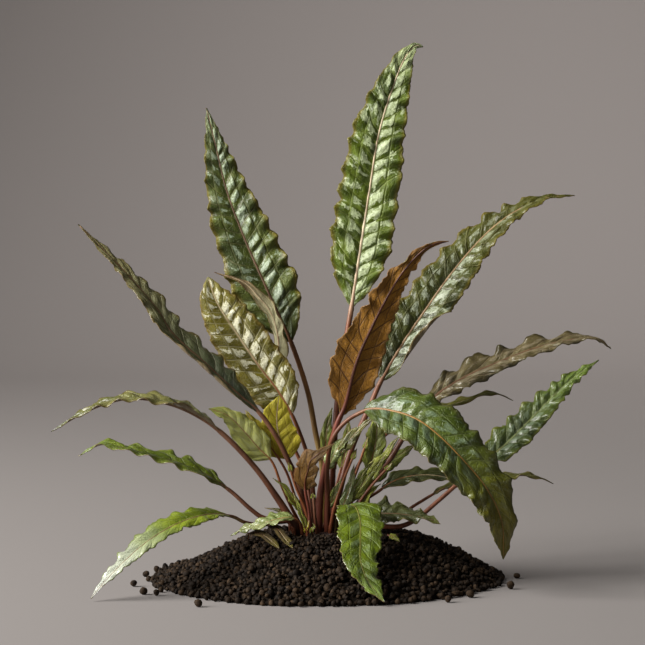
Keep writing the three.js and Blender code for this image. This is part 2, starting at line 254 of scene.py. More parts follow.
def lay_granule(bm, shapes, place, size, rng):
    """Adds a granule to bm, turned and squashed at random, with a tint of its own."""
    mesh = shapes[rng.integers(len(shapes))].copy()
    turn = Euler([rng.uniform(0, 6.3) for _ in range(3)]).to_matrix().to_4x4()
    squash = Matrix.Diagonal([size * rng.uniform(0.8, 1.12) for _ in range(3)] + [1])
    mesh.transform(Matrix.Translation(place) @ turn @ squash)
    mesh.attributes["granule_tint"].data.foreach_set("value", [rng.random()] * len(mesh.vertices))
    bm.from_mesh(mesh)
    bpy.data.meshes.remove(mesh)


def whole_share(x, y):
    """Granules are whole at the rim and broken up in the middle: 0 in the middle, 1 at the rim."""
    return min(1.0, math.hypot(x, y) / (HEAP_RADIUS - 2))


def scatter(rng, spacing_at, tries):
    """Places on the heap, no two closer than the spacing wanted there, in millimetres."""
    cell = 4.0
    rim_overhang = 1.3
    taken = {}
    places = []
    for _ in range(tries):
        reach = (HEAP_RADIUS + 2) * math.sqrt(rng.random())
        angle = rng.uniform(-math.pi, math.pi)
        x, y = reach * math.cos(angle), reach * math.sin(angle)
        if reach > heap_edge(angle) + rim_overhang:
            continue
        gap = spacing_at(whole_share(x, y))
        column, row = int(x // cell), int(y // cell)
        cells = ((i, j) for i in range(column - 1, column + 2) for j in range(row - 1, row + 2))
        if any((x - p) ** 2 + (y - q) ** 2 < gap * gap for near in cells for p, q in taken.get(near, ())):
            continue
        taken.setdefault((column, row), []).append((x, y))
        places.append((x, y))
    return places


def show_soil(name, mesh):
    """Puts a piece of soil into the scene. Nothing of it moves."""
    piece = show(name, mesh)
    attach(piece, "root")
    return piece


def granule_layer(name, seed, shapes, broken_shapes, spacing, sizes, tries, sunk, reach):
    """One layer of granules over the heap, as a piece of its own."""
    rng = np.random.default_rng(seed)
    hump_height, hump_width, level_rim = 1.5, 6.5, 8
    bm = bmesh.new()
    for x, y in scatter(rng, spacing, tries):
        out = math.hypot(x, y)
        if out > reach:
            continue
        size = spacing(whole_share(x, y)) * rng.uniform(*sizes)
        hump = hump_height * noise.noise((x / hump_width, y / hump_width, 0.4))
        hump *= min(1.0, (HEAP_RADIUS + 2 - out) / level_rim)
        z = max(size * 0.45, heap_height(x, y) + hump - size * rng.uniform(*sunk))
        if broken_shapes and rng.random() > whole_share(x, y) ** 1.6:
            lay_granule(bm, broken_shapes, (x, y, z), size * rng.uniform(0.5, 0.95), rng)
        else:
            lay_granule(bm, shapes, (x, y, z), size, rng)
    show_soil(name, mesh_of(bm, name, soil_finish, unit=MILLIMETRE))


def soil_core():
    """The core under the granules: its top, and then its flat underside back to the middle."""
    top_rings, rings = 24, 28
    inside_edge, under_top, rim_height = 1.2, 2.4, 0.3
    bm = bmesh.new()
    bmesh.ops.create_grid(bm, x_segments=96, y_segments=rings, size=0.5)
    for v in bm.verts:
        angle = 2 * math.pi * (v.co.x + 0.5)
        ring = round((v.co.y + 0.5) * rings)
        share = ring / top_rings if ring <= top_rings else (rings - ring) / (rings - top_rings - 1)
        reach = share * (heap_edge(angle) - inside_edge)
        x, y = reach * math.cos(angle), reach * math.sin(angle)
        v.co = (x, y, max(rim_height, heap_height(x, y) - under_top) if ring <= top_rings else 0)
    bmesh.ops.remove_doubles(bm, verts=bm.verts[:], dist=1e-4)
    bmesh.ops.recalc_face_normals(bm, faces=bm.faces[:])
    core = show_soil("soil_core", mesh_of(bm, "soil_core", soil_finish, unit=MILLIMETRE))
    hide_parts("soil_heap")


granule_layer(
    "soil_granules", 11, WHOLE_GRANULES, CLODS, lambda share: 3.6 - 0.95 * share ** 2,
    sizes=(0.7, 1.16), tries=9000, sunk=(0.3, 0.75), reach=80,
)
granule_layer(
    "soil_crumbs", 12, CRUMBS, None, lambda share: 1.25 + 0.6 * share ** 1.5,
    sizes=(0.9, 1.7), tries=60000, sunk=(0.5, 1.0), reach=72,
)
soil_core()

# The granules that lie loose on the floor, and those that lean on the rim: x, y and diameter
LOOSE_GRAINS = {
    "grain_01": (-75, 6, 3.2), "grain_02": (-71.5, 19, 3.2), "grain_03": (-78, -21, 3.4),
    "grain_04": (-72.5, -42, 3.6), "grain_05": (-67, -45, 3.2), "grain_06": (-49, -73, 3.4),
    "grain_07": (80, 1, 3.2), "grain_08": (75, -28, 3.8), "grain_09": (57.5, -50, 3.6),
    "grain_10": (48, -62, 3.2),
}
RIM_GRAINS = {"rim_grain_11": (-73, -7, 3), "rim_grain_12": (-66, -36, 3), "rim_grain_13": (73, -5, 3)}


def loose_grain(name, x, y, diameter):
    """A granule with its lowest point on the floor. Its number in the name is its seed."""
    scale, pale = 0.9, 0.8
    bm = bmesh.new()
    rng = np.random.default_rng(int(name[-2:]))
    lay_granule(bm, WHOLE_GRANULES, (x, y, diameter / 2), diameter * scale, rng)
    low = min(v.co.z for v in bm.verts)
    bmesh.ops.translate(bm, vec=(0, 0, -low), verts=bm.verts[:])
    bmesh.ops.recalc_face_normals(bm, faces=bm.faces[:])
    mesh = mesh_of(bm, "loose_" + name, soil_finish, True, MILLIMETRE)
    mesh.attributes["granule_tint"].data.foreach_set("value", [pale] * len(mesh.vertices))
    grain = show_soil("loose_" + name, mesh)
    if name in LOOSE_GRAINS:
        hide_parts(name)


for name, (x, y, diameter) in {**LOOSE_GRAINS, **RIM_GRAINS}.items():
    loose_grain(name, x, y, diameter)


# ----------------------------------------
# Crown: the short rootstock in the middle of the heap, wrapped in the dry brown bases of old
# leaves. Only its top shows among the stalks.
# ----------------------------------------
def crown_material():
    material, nodes = new_material("crown_bark")
    fibres = nodes.cloud(nodes.place((1.0, 1.0, 0.15)), 900.0, 4.0, 0.65)
    nodes.shade({
        "Base Color": nodes.ramp(fibres, (0.35, (0.012, 0.006, 0.004)), (0.7, (0.07, 0.03, 0.018))),
        "Normal": nodes.bump(fibres, 0.8, 0.0006), "Roughness": 0.7,
    })
    return material


for material_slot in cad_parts["crown"].material_slots:
    material_slot.material = crown_material()


# ----------------------------------------
# Tall upright leaves: long ruffled blades on reddish stalks. Each leaf is one growth: a stalk
# that runs on as the midrib, and a thin blade puckered between its cross veins.
# ----------------------------------------
def leaf_veins():
    """Masks of the vein pattern over a blade, and of its painted sheen. UV x runs across the blade and UV y
    counts its waves.
    """
    group = bpy.data.node_groups.new("leaf_veins", "ShaderNodeTree")
    socket = group.interface.new_socket
    socket(name="Vector", in_out="INPUT", socket_type="NodeSocketVector")
    socket(name="Cover", in_out="INPUT", socket_type="NodeSocketFloat")
    for name in ("Veins", "Margin", "Middle", "Swelling", "Streaks", "PaintedSheen"):
        socket(name=name, in_out="OUTPUT", socket_type="NodeSocketFloat")
    given = group.nodes.new("NodeGroupInput").outputs
    nodes = Nodes(group)
    maths, times, fade = nodes.maths, nodes.times, nodes.fade
    uv = given["Vector"]
    uv_x, uv_y = (nodes.add("SeparateXYZ", (uv,), axis) for axis in "XY")
    across = maths("ABSOLUTE", times(uv_x, 2.0, -1.0))
    side = maths("GREATER_THAN", uv_x, 0.5)

    # The cross veins lean towards the tip, and those of one side start between those of the other
    slanted = maths("SUBTRACT", maths("ADD", times(side, 0.37), times(uv_y, 1.5)), times(across, 1.15))
    beat = maths("FRACT", slanted)
    away = maths("SUBTRACT", 0.5, maths("ABSOLUTE", maths("SUBTRACT", beat, 0.5)))
    cross = times(fade(away, 0.02, 0.07, 1.0, 0.0), fade(across, 0.04, 0.1))
    cross = times(cross, fade(across, 0.86, 0.97, 1.0, 0.3))
    second = maths("SUBTRACT", across, times(nodes.cloud(uv, 3.0, 2.0, 0.5), 0.1, 0.48))
    second = times(fade(maths("ABSOLUTE", second), 0.012, 0.04, 1.0, 0.0), 0.75)
    grid = nodes.add("VectorMath", (uv, (14.0, 6.0, 0.0)), operation="MULTIPLY")
    net = nodes.add("TexVoronoi", {"Vector": grid, "Scale": 1.0}, "Distance", feature="DISTANCE_TO_EDGE")
    fine = times(fade(net, 0.02, 0.09, 1.0, 0.0), 0.35)
    streaks = nodes.add("CombineXYZ", (times(slanted, 5.0), times(across, 2.5), side))

    # Painted sheen that stands in for the light mirrored by the glossy blade: ragged pale patches in the
    # pockets between the cross veins, more on one half than the other, and lobes of it outside the long side
    # vein
    pocket = nodes.add("CombineXYZ", (maths("FLOOR", slanted), side))
    pocket = nodes.add("TexWhiteNoise", {"Vector": pocket}, "Value", noise_dimensions="2D")
    sheen_blotches = nodes.add("CombineXYZ", (times(slanted, 2.6), times(across, 4.2), side))
    sheen_blotches = maths("ADD", nodes.cloud(sheen_blotches, 1.0, 6.0, 0.62), given["Cover"])
    shone = times(maths("ABSOLUTE", maths("SUBTRACT", beat, 0.58)), -0.62, 0.24)
    shone = maths("ADD", shone, times(maths("SUBTRACT", pocket, 0.5), 0.16))
    shone = maths("ADD", shone, times(side, 0.21, -0.12))
    shone = maths("ADD", shone, times(times(across, 0.5, -0.06), maths("SUBTRACT", 1.0, side)))
    inside = times(fade(maths("ADD", sheen_blotches, shone), 0.6, 0.635), fade(across, 0.04, 0.09))
    inside = times(inside, fade(across, 0.44, 0.5, 1.0, 0.0))
    lobe = maths("SUBTRACT", maths("ADD", uv_y, times(side, 0.42, 0.1)), times(across, 0.3))
    lobe = maths("SINE", times(lobe, 2 * math.pi))
    outside = times(fade(times(lobe, 0.11, sheen_blotches), 0.6, 0.635), fade(across, 0.5, 0.56))
    nodes.fill(group.nodes.new("NodeGroupOutput"), {
        "Veins": maths("MAXIMUM", maths("MAXIMUM", cross, second), fine),
        "Margin": fade(across, 0.8, 0.97),
        "Middle": fade(across, 0.02, 0.09, 1.0, 0.0),
        "Swelling": times(fade(away, 0.0, 0.45), fade(across, 0.95, 0.6)),
        "Streaks": nodes.cloud(streaks, 1.0),
        "PaintedSheen": maths("MAXIMUM", inside, outside),
    })
    return group


leaf_vein_group = leaf_veins()


def blade_material(name, fresh, shade, vein, margin, tip, gloss=0.28, vein_show=0.5, speckle=0.8,
                   coat=0.6, painted_sheen=(0.42, 0.46, 0.36), painted_sheen_show=0.0, cover=0.0, tip_from=0.72):
    """One side of a blade: two tones that drift over it, patches of painted sheen, its veins, its thin margin
    and its tip.
    """
    material, nodes = new_material(name)
    place = nodes.place()
    pattern = material.node_tree.nodes.new("ShaderNodeGroup")
    pattern.node_tree = leaf_vein_group
    nodes.fill(pattern, {"Vector": nodes.add("UVMap", uv_map="blade"), "Cover": cover})
    veins = pattern.outputs

    def mixed(factor, under, over, amount=1.0):
        under, over = ((*tone, 1) if isinstance(tone, tuple) else tone for tone in (under, over))
        return nodes.add("Mix", {0: nodes.times(factor, amount), 6: under, 7: over}, 2, data_type="RGBA")

    wax = nodes.cloud(place, 900.0, 4.0, 0.75)
    colour = mixed(nodes.fade(nodes.cloud(place, 90.0), 0.38, 0.62), fresh, shade)
    # Pale patches of painted sheen, where the glossy surface would mirror the light
    if painted_sheen_show:
        dots = nodes.fade(wax, 0.38, 0.5, 0.35, 1.0, "LINEAR")
        colour = mixed(nodes.times(dots, veins["PaintedSheen"]), colour, painted_sheen, painted_sheen_show)
    share = nodes.add("Attribute", gives="Fac", attribute_name="leaf_share")
    colour = mixed(nodes.fade(share, tip_from, 1.0), colour, tip)
    colour = mixed(veins["Veins"], colour, vein, vein_show)
    colour = mixed(veins["Middle"], colour, vein, min(1.0, vein_show * 1.4))
    bloom = nodes.times(veins["Streaks"], 0.5, nodes.times(wax, 0.5))
    wrinkles = nodes.times(veins["Veins"], -1.0, veins["Swelling"])
    wrinkles = nodes.bump(nodes.times(veins["Streaks"], 1.3, wrinkles), 0.8, 0.0004)
    nodes.shade({
        "Base Color": mixed(veins["Margin"], colour, margin, 0.8),
        "Roughness": nodes.fade(wax, 0.35, 0.65, gloss + 0.2, gloss, "LINEAR"),
        "Normal": nodes.bump(nodes.cloud(place, 1300.0, 2.0), speckle, 0.0003, wrinkles),
        "Specular IOR Level": 0.4, "Specular Tint": (0.95, 1.0, 0.8, 1),
        "Coat Weight": nodes.fade(bloom, 0.44, 0.53, coat * 0.05, coat, "LINEAR"),
        "Coat IOR": 1.7, "Coat Roughness": 0.13,
    })
    return material


def stalk_material(name, foot, high, rib, rib_from=0.2):
    """A stalk and its midrib: one colour at the foot, one under the blade, one along the rib."""
    material, nodes = new_material(name)
    share = nodes.add("Attribute", gives="Fac", attribute_name="leaf_share")
    stops = (0.1, foot), (0.36 + 0.5 * rib_from, high), (0.5 + 0.5 * rib_from, rib)
    colour = nodes.ramp(nodes.times(share, 0.5, 0.5), *stops)
    streak = nodes.cloud(nodes.place((1.0, 1.0, 0.12)), 350.0)
    dark = {0: nodes.fade(streak, 0.4, 0.7, kind="LINEAR"), 6: colour, 7: (0.5, 0.42, 0.36, 1)}
    nodes.shade({
        "Base Color": nodes.add("Mix", dark, 2, data_type="RGBA", blend_type="MULTIPLY"),
        "Normal": nodes.bump(streak, 0.4, 0.0003), "Roughness": 0.4, "Specular IOR Level": 0.35,
    })
    return material


def centre_line(points):
    """A smooth line through a leaf's points: its places, its share of length there, and its length."""
    points = np.array(points, float)
    points = np.vstack([2 * points[0] - points[1], points, 2 * points[-1] - points[-2]])
    places = []
    for before, start, end, after in zip(points, points[1:], points[2:], points[3:]):
        pairs = (before, start), (start, end), (end, after)
        gap_before, gap, gap_after = (np.linalg.norm(far - near) ** 0.5 for near, far in pairs)
        step = end - start
        leave = (start - before) / gap_before - (end - before) / (gap_before + gap) + step / gap
        arrive = step / gap - (after - start) / (gap + gap_after) + (after - end) / gap_after
        leave, arrive = leave * gap, arrive * gap
        run = np.linspace(0, 1, 40, endpoint=False)[:, None]
        places.append(
            start + leave * run + (3 * step - 2 * leave - arrive) * run ** 2
            + (leave + arrive - 2 * step) * run ** 3
        )
    places = np.vstack([*places, points[-2][None]])
    run = np.concatenate([[0], np.cumsum(np.linalg.norm(np.diff(places, axis=0), axis=1))])
    return places, run / run[-1], run[-1]


def unit(vectors):
    return vectors / np.linalg.norm(vectors, axis=-1, keepdims=True)


class LeafLine:
    """Where a leaf's centre line runs, and which ways are across it and out of its upper side."""

    def __init__(self, path, petiole, stem, face, tip):
        self.places, self.reach, self.length = centre_line(path)
        self.heading = unit(np.gradient(self.places, self.reach, axis=0))
        self.petiole, self.stem = petiole, stem
        self.foot_face, self.tip_face = (unit(np.array(way, float)) for way in (face, tip))

    def at(self, share):
        """share is -1 at the stalk's foot, 0 where the blade starts and 1 at the tip."""
        reach = np.where(share < 0, self.petiole * (share + 1), self.petiole + (1 - self.petiole) * share)
        centre, heading = (
            np.stack([np.interp(reach, self.reach, row) for row in rows.T], -1)
            for rows in (self.places, self.heading)
        )
        heading = unit(heading)
        turn = np.clip(share, 0, 1)[:, None]
        upper = self.foot_face * (1 - turn) + self.tip_face * turn
        normal = unit(upper - (upper * heading).sum(-1, keepdims=True) * heading)
        return centre, np.cross(heading, normal), normal

    def stalk_radius(self, share):
        """The stalk is thickest at its foot, and as the midrib it thins towards the tip."""
        foot = np.clip((-share - 0.45) / 0.55, 0, 1)
        below = 0.78 - 0.22 * share + 0.4 * foot ** 1.5
        on_blade = 0.78 - 0.56 * np.clip(share, 0, 1) ** 0.35
        return self.stem / 2 * 0.9 * np.where(share <= 0, below, on_blade)


def blade_outline(share, taper):
    """A blade's width along it: it opens in its first quarter and narrows from there to the tip."""
    opened, widest = 0.24, 0.28
    foot = np.sin(np.pi / 2 * np.minimum(1, share / opened)) ** 0.8
    return foot * (1 - np.clip((share - widest) / (1 - widest), 0, 1) ** taper)


def gentle_noise(x, seed):
    """A smooth irregular line between about -1 and 1."""
    rng = np.random.default_rng(seed)
    total = np.zeros_like(x)
    for finer in range(5):
        pace = 0.7 + 0.55 * finer + 0.3 * rng.random()
        total += np.sin(x * pace + rng.uniform(0, 6.3)) * (0.6 if finer else 1)
    return total / 2.6


def blade_relief(share, across, half, seed, width, waves, length, ruffle, pucker, teeth, cup, halves):
    """How a blade is ruffled: distances out from its midrib, heights, and its beat of waves."""
    left = across < 0
    edge = np.abs(across)

    def either(make):
        return np.where(left, make(seed), make(seed + 50))

    def side_noise(pace, more):
        return either(lambda k: gentle_noise(share * waves * pace, k + more))

    beat = waves * share + 0.26 * side_noise(1.3, 0) * np.minimum(1, 4 * (1 - share))
    swell = np.minimum(1, np.minimum(6 * share, 4 * (1 - share)))
    strength = 1 + 0.4 * side_noise(0.9, 7)

    # The rim is longer than the rest and lies in lobes, with a finer frill on them
    phase = beat + np.where(left, 0.1, 0.52) - 0.3 * (edge - 1)
    wave = np.sin(2 * np.pi * phase + 0.25 * np.sin(2 * np.pi * phase))
    small = side_noise(8, 20)
    outer = np.clip((edge - 0.5) / 0.5, 0, 1)
    lobe_height, frill_height = 0.09 * width * ruffle, 0.018 * width * ruffle
    height = lobe_height * strength * swell * (0.12 * edge + 0.88 * outer ** 1.3) * wave
    height += frill_height * outer * small
    height += cup * half * (0.38 * edge - 0.5 * np.maximum(0, edge - 0.55))

    # The part inside the long side vein is quilted between the cross veins
    warp = np.array([noise.noise((a * waves * 0.9, b * 1.6, seed)) for a, b in zip(share, across)])
    cell = 1.5 * beat + np.where(left, 0, 0.37) - 1.15 * edge + 0.55 * warp
    pucker = pucker * np.where(left, halves[0], halves[1])
    part = cell - np.floor(cell)
    number = (np.floor(cell) + 20 + np.where(left, 0, 90)).astype(int)
    cell_rng = np.random.default_rng(seed + 100)
    deep, peak, tilt = (
        cell_rng.uniform(low, high, 200)[number] for low, high in ((0.5, 1.3), (0.22, 0.78), (-0.9, 0.9))
    )
    tent = np.where(part < peak, part / peak, (1 - part) / (1 - peak))
    dome = tent * (1.3 - 0.3 * tent)
    inner = np.clip((edge - 0.03) / 0.55, 0, 1)
    window = np.clip(np.minimum(5 * inner, 3.5 * (1 - inner)), 0, 1)
    quilt = pucker * width * swell ** 0.5
    height += 0.044 * quilt * window * dome * (deep + tilt * (inner - 0.5))
    height -= 0.011 * quilt * window * np.abs(((cell * 2.6 + edge) % 1) - 0.5)
    height += 0.016 * quilt * np.sin(np.pi * np.clip((edge - 0.54) / 0.45, 0, 1)) ** 0.7 * dome

    # Small crumples
    for k in range(len(share)):
        spot = (share[k] * length / 3.2 - 0.3 * edge[k] * half[k], across[k] * half[k] / 1.7, seed)
        height[k] += 0.34 * pucker[k] * noise.noise(spot) * min(1, half[k] / 4) * min(1, 5 * edge[k])

    def jagged(run, own_seed):
        at = np.linspace(0, 1, max(12, int(length / run)))
        return np.interp(share, at, np.random.default_rng(own_seed).uniform(-1, 1, len(at)))

    # Teeth and wider notches along the margin, every 0.9 and every 2.1 mm
    tooth = either(lambda k: jagged(0.9, k))
    notch = either(lambda k: jagged(2.1, k + 3))
    scallop = 1 + ruffle * swell * (0.07 * wave + 0.025 * small) * edge ** 2
    rim = np.sign(across) * teeth * np.minimum(1, half / 3)
    out = half * across * scallop + rim * (0.22 * tooth * edge ** 12 + 0.42 * notch * edge ** 5)
    return out, height, beat


def roll_over(out, height, share, across, half, side, first, last, start, angle):
    """Rolls one margin over the upper side between two shares of the length, so its underside shows."""
    amount = angle * np.sin(np.pi * np.clip((share - first) / (last - first), 0, 1)) ** 0.6
    amount = np.where(np.sign(across) == side, amount, 0.0)
    run = half * np.clip(np.abs(across) - start, 0, 1)
    bend = np.maximum(half * (1 - start) / np.maximum(amount, 1e-3), 1e-6)
    turned = np.minimum(run / bend, amount)
    rolled_out = side * (half * start + bend * np.sin(turned))
    rolled_height = height * np.cos(turned) + bend * (1 - np.cos(turned))
    rolled = (amount > 0.02) & (run > 0)
    return np.where(rolled, rolled_out, out), np.where(rolled, rolled_height, height)


def flat_grid(columns, rows):
    """A flat grid one unit across, and where its vertices are."""
    bm = bmesh.new()
    bmesh.ops.create_grid(bm, x_segments=columns, y_segments=rows, size=0.5)
    bm.verts.index_update()
    return bm, np.array([v.co for v in bm.verts])


def place_verts(bm, places, shares):
    """Moves each vertex to its place in millimetres, and notes its share of the blade's length."""
    share_layer = bm.verts.layers.float.new("leaf_share")
    for v, place, share in zip(bm.verts, places, shares):
        v.co = place * MILLIMETRE
        v[share_layer] = share


def leaf_blade(line, seed, width, taper, shape, roll, litter):
    """The blade as a thin closed shell: material 0 on its upper side, 1 on its underside."""
    thickness, row_step, column_step = 0.28 * MILLIMETRE, 0.62, 1.4
    last_row, over_rib = 0.995, 0.15
    length = line.length * (1 - line.petiole)
    rows = max(12 if litter else 40, int(length / row_step))
    columns = max(8 if litter else 16, 2 * int(width / column_step))
    bm, flat = flat_grid(columns, rows)
    across = np.clip(flat[:, 0] * 2, -1, 1)
    share = np.minimum(np.clip(flat[:, 1] + 0.5, 0, 1), last_row)
    half = width / 2 * blade_outline(share, taper)
    out, height, beat = blade_relief(share, across, half, seed, width, length=length, **shape)
    centre, sideways, normal = line.at(share)
    height = height + over_rib * line.stalk_radius(share)
    if roll:
        out, height = roll_over(out, height, share, across, half, *roll)
    uv_layer = bm.loops.layers.uv.new("blade")
    place_verts(bm, centre + sideways * out[:, None] + normal * height[:, None], share)
    for loop in (loop for f in bm.faces for loop in f.loops):
        corner = loop.vert.index
        loop[uv_layer].uv = (across[corner] * 0.5 + 0.5, beat[corner])
    upper_side = set(bm.faces)
    underside = bmesh.ops.extrude_face_region(bm, geom=bm.faces[:], use_keep_orig=True)
    bm.normal_update()
    for v in underside["geom"]:
        if isinstance(v, bmesh.types.BMVert):
            v.co -= v.normal * thickness
    bmesh.ops.recalc_face_normals(bm, faces=bm.faces[:])
    for f in bm.faces:
        f.material_index = 0 if f in upper_side else 1
        f.smooth = True
    return bm


def leaf_stalk(line):
    """Stalk and midrib: a tube from the foot, sunk in the crown or the soil, to the blade's tip."""
    foot_sink, sides, row_step, rib_end = 3.0, 10, 1.6, 0.985
    rows = max(50, int(line.length / row_step))
    bm, flat = flat_grid(sides, rows)
    bm.loops.layers.uv.new("blade")
    turn = (flat[:, 0] + 0.5) * 2 * np.pi
    reach = flat[:, 1] + 0.5
    petiole = line.petiole
    share = np.where(reach < petiole, reach / petiole - 1, (reach - petiole) / (1 - petiole))
    share = np.clip(share, -1, rib_end)
    centre, sideways, normal = line.at(share)
    radius = line.stalk_radius(share) * (1 + 0.03 * np.sin(3 * turn + reach * 20))
    radius = np.where((reach < 0.001) | (reach > 0.999), 0.0, radius)
    on_blade = np.clip(share * 12, 0, 1)
    rise = np.where(np.cos(turn) > 0, 1 - 0.1 * on_blade, 1.0)
    out, up = radius * np.sin(turn), radius * (rise * np.cos(turn) - 0.1 * on_blade)
    places = centre + sideways * out[:, None] + normal * up[:, None]
    places[:, 2] -= np.where(reach < 1.5 / rows, foot_sink, 0.0)
    place_verts(bm, places, share)
    bmesh.ops.remove_doubles(bm, verts=bm.verts[:], dist=1e-7)
    bmesh.ops.recalc_face_normals(bm, faces=bm.faces[:])
    for f in bm.faces:
        f.material_index = 2
        f.smooth = True
    return bm


# A blade's five colours are in this order: fresh, shade, vein, margin and tip
pale_underside = blade_material(
    "pale_underside", (0.26, 0.2, 0.13), (0.18, 0.135, 0.085), (0.1, 0.05, 0.03), (0.16, 0.11, 0.03),
    (0.24, 0.19, 0.1), vein_show=0.45, gloss=0.45,
)


def grow_leaf(name, seed, upper, stalk, path, petiole, width, stem, waves, taper, face, tip=None,
              ruffle=1.0, pucker=1.0, teeth=0.5, cup=1.0, halves=(1, 1), roll=None,
              under=pale_underside, litter=False):
    """A leaf in three finishes: its blade's upper side, its underside, and its stalk with the midrib.

    petiole is the share of the path that is bare stalk. width is the blade's and stem the stalk's, in
    millimetres. waves counts those of one side, and a high taper keeps the blade broad for longer. face
    and tip are the ways that its upper side looks, at the foot and at the tip.
    """
    line = LeafLine(path, petiole, stem, face, tip or face)
    shape = dict(waves=waves, ruffle=ruffle, pucker=pucker, teeth=teeth, cup=cup, halves=halves)
    bm = leaf_blade(line, seed, width, taper, shape, roll, litter)
    stalk_mesh = mesh_of(leaf_stalk(line), name + "_stalk")
    bm.from_mesh(stalk_mesh)
    bpy.data.meshes.remove(stalk_mesh)
    mesh = mesh_of(bm, name)
    for finish in (upper, under, stalk):
        mesh.materials.append(finish)
    leaf = show(name if litter else name + "_grown", mesh)
    if not litter:
        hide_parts(name)
    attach(leaf, "root")


# Its pale tip is partly the leaf's own paler colour and partly painted sheen
fresh_green = blade_material(
    "fresh_green_blade", (0.09, 0.132, 0.002), (0.034, 0.056, 0.001), (0.26, 0.28, 0.08), (0.13, 0.1, 0.006),
    (0.42, 0.49, 0.24), vein_show=0.2, painted_sheen=(0.45, 0.52, 0.29), painted_sheen_show=0.9, cover=0.02, tip_from=0.8,
    coat=0.22, gloss=0.38,
)
deep_green = blade_material(
    "deep_green_blade", (0.085, 0.108, 0.012), (0.03, 0.044, 0.003), (0.15, 0.12, 0.05),
    (0.14, 0.105, 0.008), (0.2, 0.24, 0.12), vein_show=0.25, painted_sheen=(0.3, 0.37, 0.25), painted_sheen_show=0.75,
    cover=-0.05, tip_from=0.85, coat=0.2, gloss=0.42,
)
red_stalk = stalk_material("red_stalk", (0.11, 0.03, 0.013), (0.26, 0.085, 0.036), (0.78, 0.64, 0.42))
olive_stalk = stalk_material("olive_stalk", (0.34, 0.24, 0.06), (0.3, 0.13, 0.055), (0.15, 0.085, 0.045))

# After a leaf's path come its petiole, width, stem, waves and taper, and the way that it faces
grow_leaf(
    "leaf_tallest", 3, fresh_green, red_stalk,
    [[2, 4, 21], [3, 9, 45], [5, 13, 70], [7, 15, 88], [11, 19, 111], [15, 25, 137], [19, 30, 162],
     [23, 34, 186], [29, 38, 206], [35, 42, 220], [39, 44, 224.5], [43, 45, 224]],
    0.43, 26, 3.2, 12.5, 2.6, [-0.12, -1, 0.25], tip=[0, -1, 0.35], ruffle=0.75, teeth=1.2, cup=0.45,
    halves=(1.25, 0.6),
)
grow_leaf(
    "leaf_tall_left", 4, deep_green, olive_stalk,
    [[-1, 7, 21], [-1, 11, 45], [-4, 13, 60], [-7, 15, 76], [-14, 18, 97], [-25, 23.4, 121], [-34, 28, 141],
     [-42, 33, 162], [-47, 37, 182], [-51, 40, 198]],
    0.42, 27, 3, 11.5, 1.7, [0, -1, 0.1], ruffle=0.75, teeth=1.3, cup=0.6, halves=(0.5, 1.05),
)

# ----------------------------------------
# Olive and copper leaves: older blades that have lost their green. The broad olive one faces the
# front, the copper ones show their brown undersides, where the dark veins stand out.
# ----------------------------------------
olive_blade = blade_material(
    "olive_blade", (0.175, 0.145, 0.006), (0.1, 0.085, 0.003), (0.4, 0.36, 0.2), (0.18, 0.12, 0.015),
    (0.26, 0.24, 0.06), vein_show=0.45, coat=0.25, gloss=0.42, painted_sheen=(0.66, 0.64, 0.46), painted_sheen_show=0.95,
    tip_from=0.95,
)
plain_olive = blade_material(
    "plain_olive_blade", (0.17, 0.165, 0.022), (0.09, 0.09, 0.012), (0.3, 0.26, 0.12), (0.18, 0.12, 0.015),
    (0.2, 0.16, 0.03), vein_show=0.3, coat=0.5,
)
brown_olive = blade_material(
    "brown_olive_blade", (0.17, 0.135, 0.055), (0.066, 0.052, 0.017), (0.28, 0.2, 0.12),
    (0.045, 0.034, 0.006), (0.26, 0.2, 0.1), vein_show=0.35, coat=0.35, painted_sheen=(0.36, 0.3, 0.2), painted_sheen_show=0.5,
)
withered_underside = blade_material(
    "withered_underside", (0.46, 0.43, 0.25), (0.3, 0.27, 0.13), (0.14, 0.09, 0.03), (0.15, 0.09, 0.015),
    (0.22, 0.11, 0.04), vein_show=0.4, gloss=0.45, coat=0.2, tip_from=0.55,
)
copper_underside = blade_material(
    "copper_underside", (0.36, 0.165, 0.018), (0.23, 0.1, 0.01), (0.05, 0.014, 0.007), (0.22, 0.11, 0.03),
    (0.27, 0.12, 0.02), vein_show=0.8, gloss=0.5, speckle=0.3, coat=0.0,
)
dark_copper = blade_material(
    "dark_copper_underside", (0.15, 0.07, 0.009), (0.085, 0.037, 0.005), (0.04, 0.012, 0.007),
    (0.12, 0.05, 0.012), (0.34, 0.2, 0.06), vein_show=0.8, gloss=0.5, speckle=0.3, coat=0.0,
)
brown_stalk = stalk_material(
    "brown_stalk", (0.14, 0.042, 0.018), (0.32, 0.12, 0.05), (0.6, 0.48, 0.3), rib_from=0.55,
)
dark_rib_stalk = stalk_material(
    "dark_rib_stalk", (0.12, 0.03, 0.016), (0.2, 0.055, 0.034), (0.09, 0.026, 0.012),
)

grow_leaf(
    "leaf_broad_olive", 5, olive_blade, brown_stalk,
    [[-4, -3, 21], [-6, -1, 46], [-8, 1, 54], [-14, 2, 69], [-20, 3, 79], [-27, 4, 88], [-36, 5, 101],
     [-45, 6, 115], [-49, 7, 126]],
    0.42, 22, 2.2, 8, 4.5, [-0.3, -0.85, 0.25], tip=[-0.2, -0.85, 0.4], ruffle=0.2, pucker=0.75, teeth=1.8,
    halves=(0.4, 1),
)
grow_leaf(
    "leaf_behind_left", 6, brown_olive, brown_stalk,
    [[-5, 5, 21], [-8, 8, 42], [-14, 10, 57], [-18, 12, 75], [-19, 13, 91], [-20, 14, 102], [-23, 15, 111],
     [-28, 16, 117], [-34, 17, 123], [-47, 18, 127.5]],
    0.38, 8, 2, 6, 1.6, [0.7, 0.8, 0.2], tip=[0.5, 0.3, -0.8], teeth=1.2, under=withered_underside,
)
